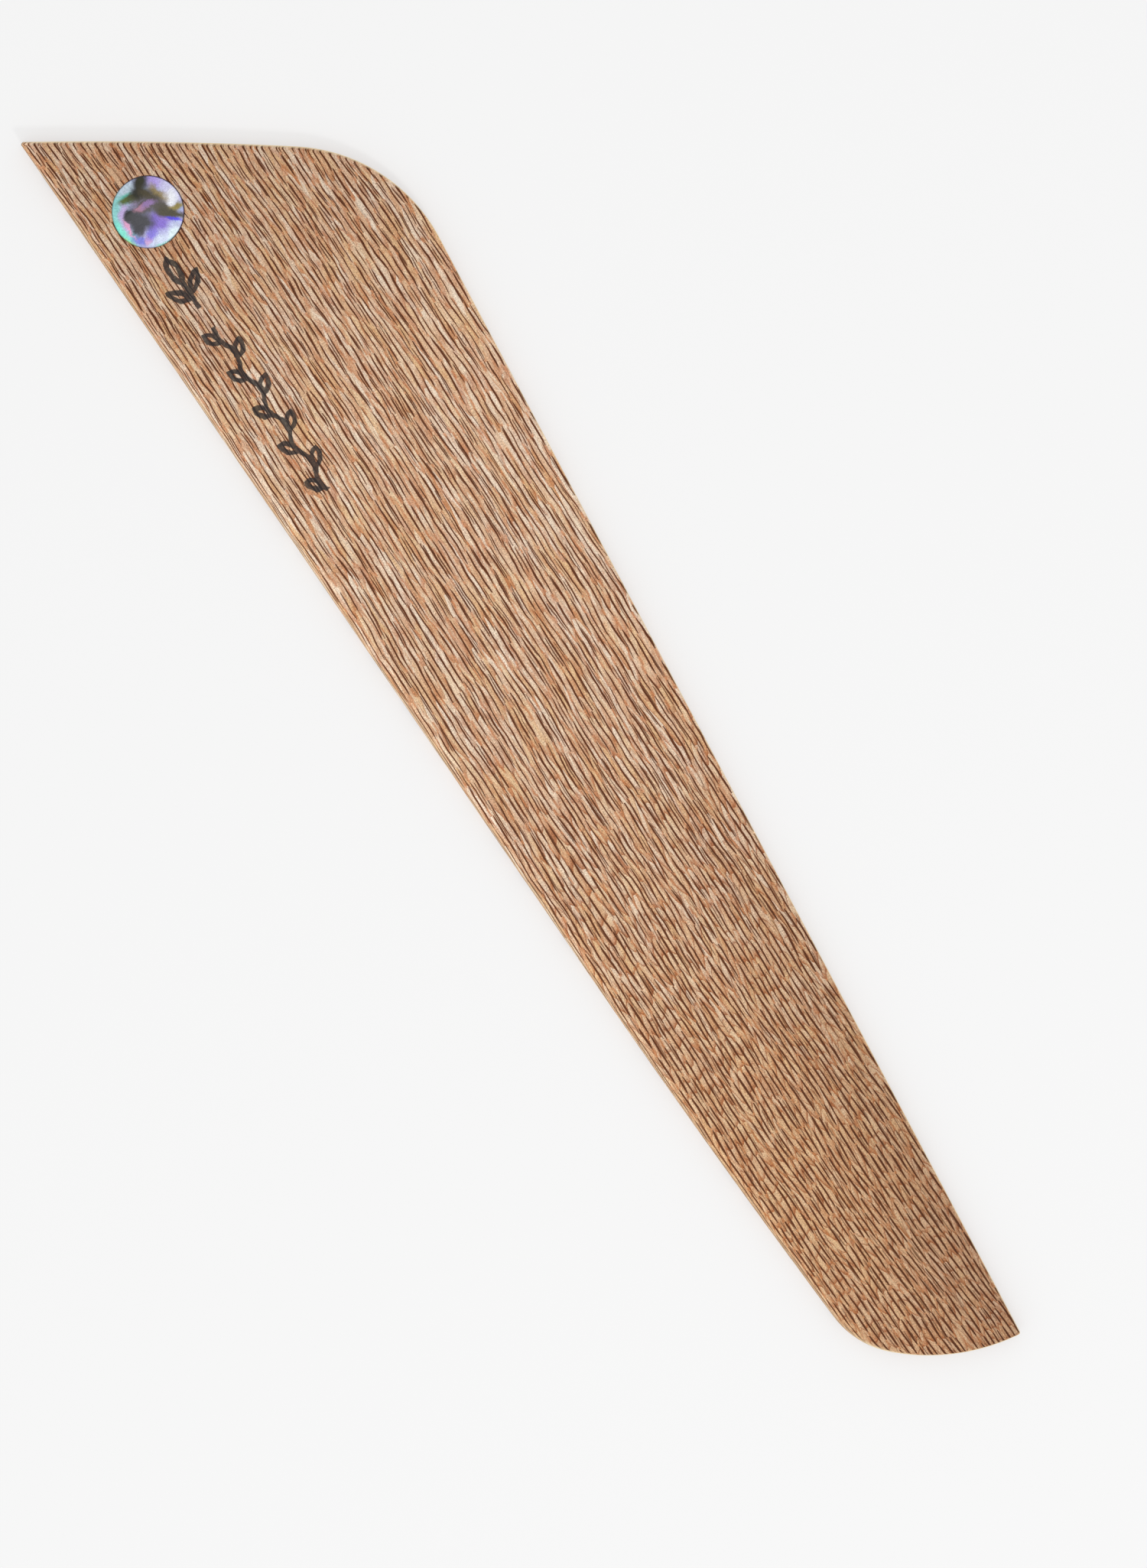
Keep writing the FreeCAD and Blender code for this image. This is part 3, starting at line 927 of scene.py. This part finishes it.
def make_resin():
    """Dark, slightly glossy resin."""
    material, tree, shader = new_material("dark_adhesive")
    x, y, _ = position_in_mm(tree)
    mottle = noise(tree, x * 2.0, y * 2.0, seed=1.0, detail=2.0)
    plug(tree, blend(tree, mottle, seen(26, 20, 20), seen(58, 42, 38)), shader.inputs["Base Color"])
    plug(tree, 0.25 + mottle * 0.3, shader.inputs["Roughness"])
    bump(tree, shader, mottle, 0.02)
    return material


def make_adhesive():
    """The cup of resin under the disc and round it."""
    centre, radius, bottom, top = box_in_mm("adhesive_bed")
    _, disc_radius, disc_bottom, _ = box_in_mm("paua_disc")
    bed = disc_bottom - BEAD_GAP
    inner, outer = disc_radius + DISC_SPREAD + BEAD_GAP, radius - BEAD_GAP
    profile = [(0.0, bed), (inner, bed), (inner, top - BEAD_BEVEL_DROP), (inner + BEAD_BEVEL, top)]
    profile += [(outer, top), (outer, bottom), (0.0, bottom)]
    return revolve("adhesive_bead", centre, profile, make_resin())


# ---------------------------------------------------------------- studio

FLOOR_WIDTH, FLOOR_LEVEL = 3000.0, -0.05
WORLD_STRENGTH = 0.72

# The camera looks straight down from 700 mm above the blade's upper face, which lies at 3 mm. Its view
# is VIEW_HEIGHT high at that face.
VIEW_HEIGHT = 218.94
CAMERA_REACH = 700.0
CAMERA_X, CAMERA_Y, CAMERA_Z = -2.04, -9.43, 703.0
CAMERA_TURN = math.radians(-31.3)
SENSOR_HEIGHT = 36.0


def make_floor():
    """A pale matt floor that glows a little, so that it stays even in tone."""
    material, _, shader = new_material("studio_floor")
    shader.inputs["Base Color"].default_value = (0.42, 0.42, 0.42, 1.0)
    shader.inputs["Emission Color"].default_value = (1.0, 1.0, 1.0, 1.0)
    shader.inputs["Emission Strength"].default_value = 0.51
    shader.inputs["Roughness"].default_value = 1.0
    shader.inputs["Specular IOR Level"].default_value = 0.0
    bpy.ops.mesh.primitive_plane_add(size=FLOOR_WIDTH * MM, location=(0.0, 0.0, FLOOR_LEVEL * MM))
    floor = bpy.context.object
    floor.name = "floor"
    floor.data.materials.append(material)


def make_world():
    """Even white light from all sides."""
    world = bpy.data.worlds.new("studio")
    world.use_nodes = True
    background = world.node_tree.nodes["Background"]
    background.inputs["Color"].default_value = (1.0, 1.0, 1.0, 1.0)
    background.inputs["Strength"].default_value = WORLD_STRENGTH
    bpy.context.scene.world = world


def make_area_light(name, spot, width, power):
    """A round soft light at a spot, facing the middle of the blade; metres and watts."""
    light = bpy.data.lights.new(name, "AREA")
    light.shape = "DISK"
    light.size = width
    light.energy = power
    lamp = bpy.data.objects.new(name, light)
    lamp.location = spot
    lamp.rotation_euler = Vector(spot).to_track_quat("Z", "Y").to_euler()
    bpy.context.scene.collection.objects.link(lamp)


def make_camera():
    """A camera above the blade, turned so that the blade runs from upper left to lower right."""
    camera = bpy.data.cameras.new("camera")
    camera.sensor_fit = "VERTICAL"
    camera.sensor_height = SENSOR_HEIGHT
    camera.lens = SENSOR_HEIGHT * CAMERA_REACH / VIEW_HEIGHT
    holder = bpy.data.objects.new("camera", camera)
    holder.location = (CAMERA_X * MM, CAMERA_Y * MM, CAMERA_Z * MM)
    holder.rotation_euler = (0.0, 0.0, CAMERA_TURN)
    bpy.context.scene.collection.objects.link(holder)
    bpy.context.scene.camera = holder


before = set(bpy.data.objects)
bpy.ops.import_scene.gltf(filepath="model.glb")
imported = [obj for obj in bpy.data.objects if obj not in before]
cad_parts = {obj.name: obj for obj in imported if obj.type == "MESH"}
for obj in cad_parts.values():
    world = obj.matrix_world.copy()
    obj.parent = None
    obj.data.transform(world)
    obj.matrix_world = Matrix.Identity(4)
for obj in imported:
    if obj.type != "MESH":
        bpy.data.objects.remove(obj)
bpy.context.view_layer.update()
bpy.context.scene.view_settings.view_transform = "Standard"

make_camera()
make_world()
make_area_light("overhead", spot=(-0.05, -0.15, 1.1), width=0.9, power=2.0)
make_area_light("low_front", spot=(-0.05, -0.75, 0.81), width=0.16, power=2.1)
make_floor()

wood = make_wood()
blade = make_blade(wood)
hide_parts("blade")
disc = make_disc()
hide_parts("paua_disc")
adhesive = make_adhesive()
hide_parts("adhesive_bed")
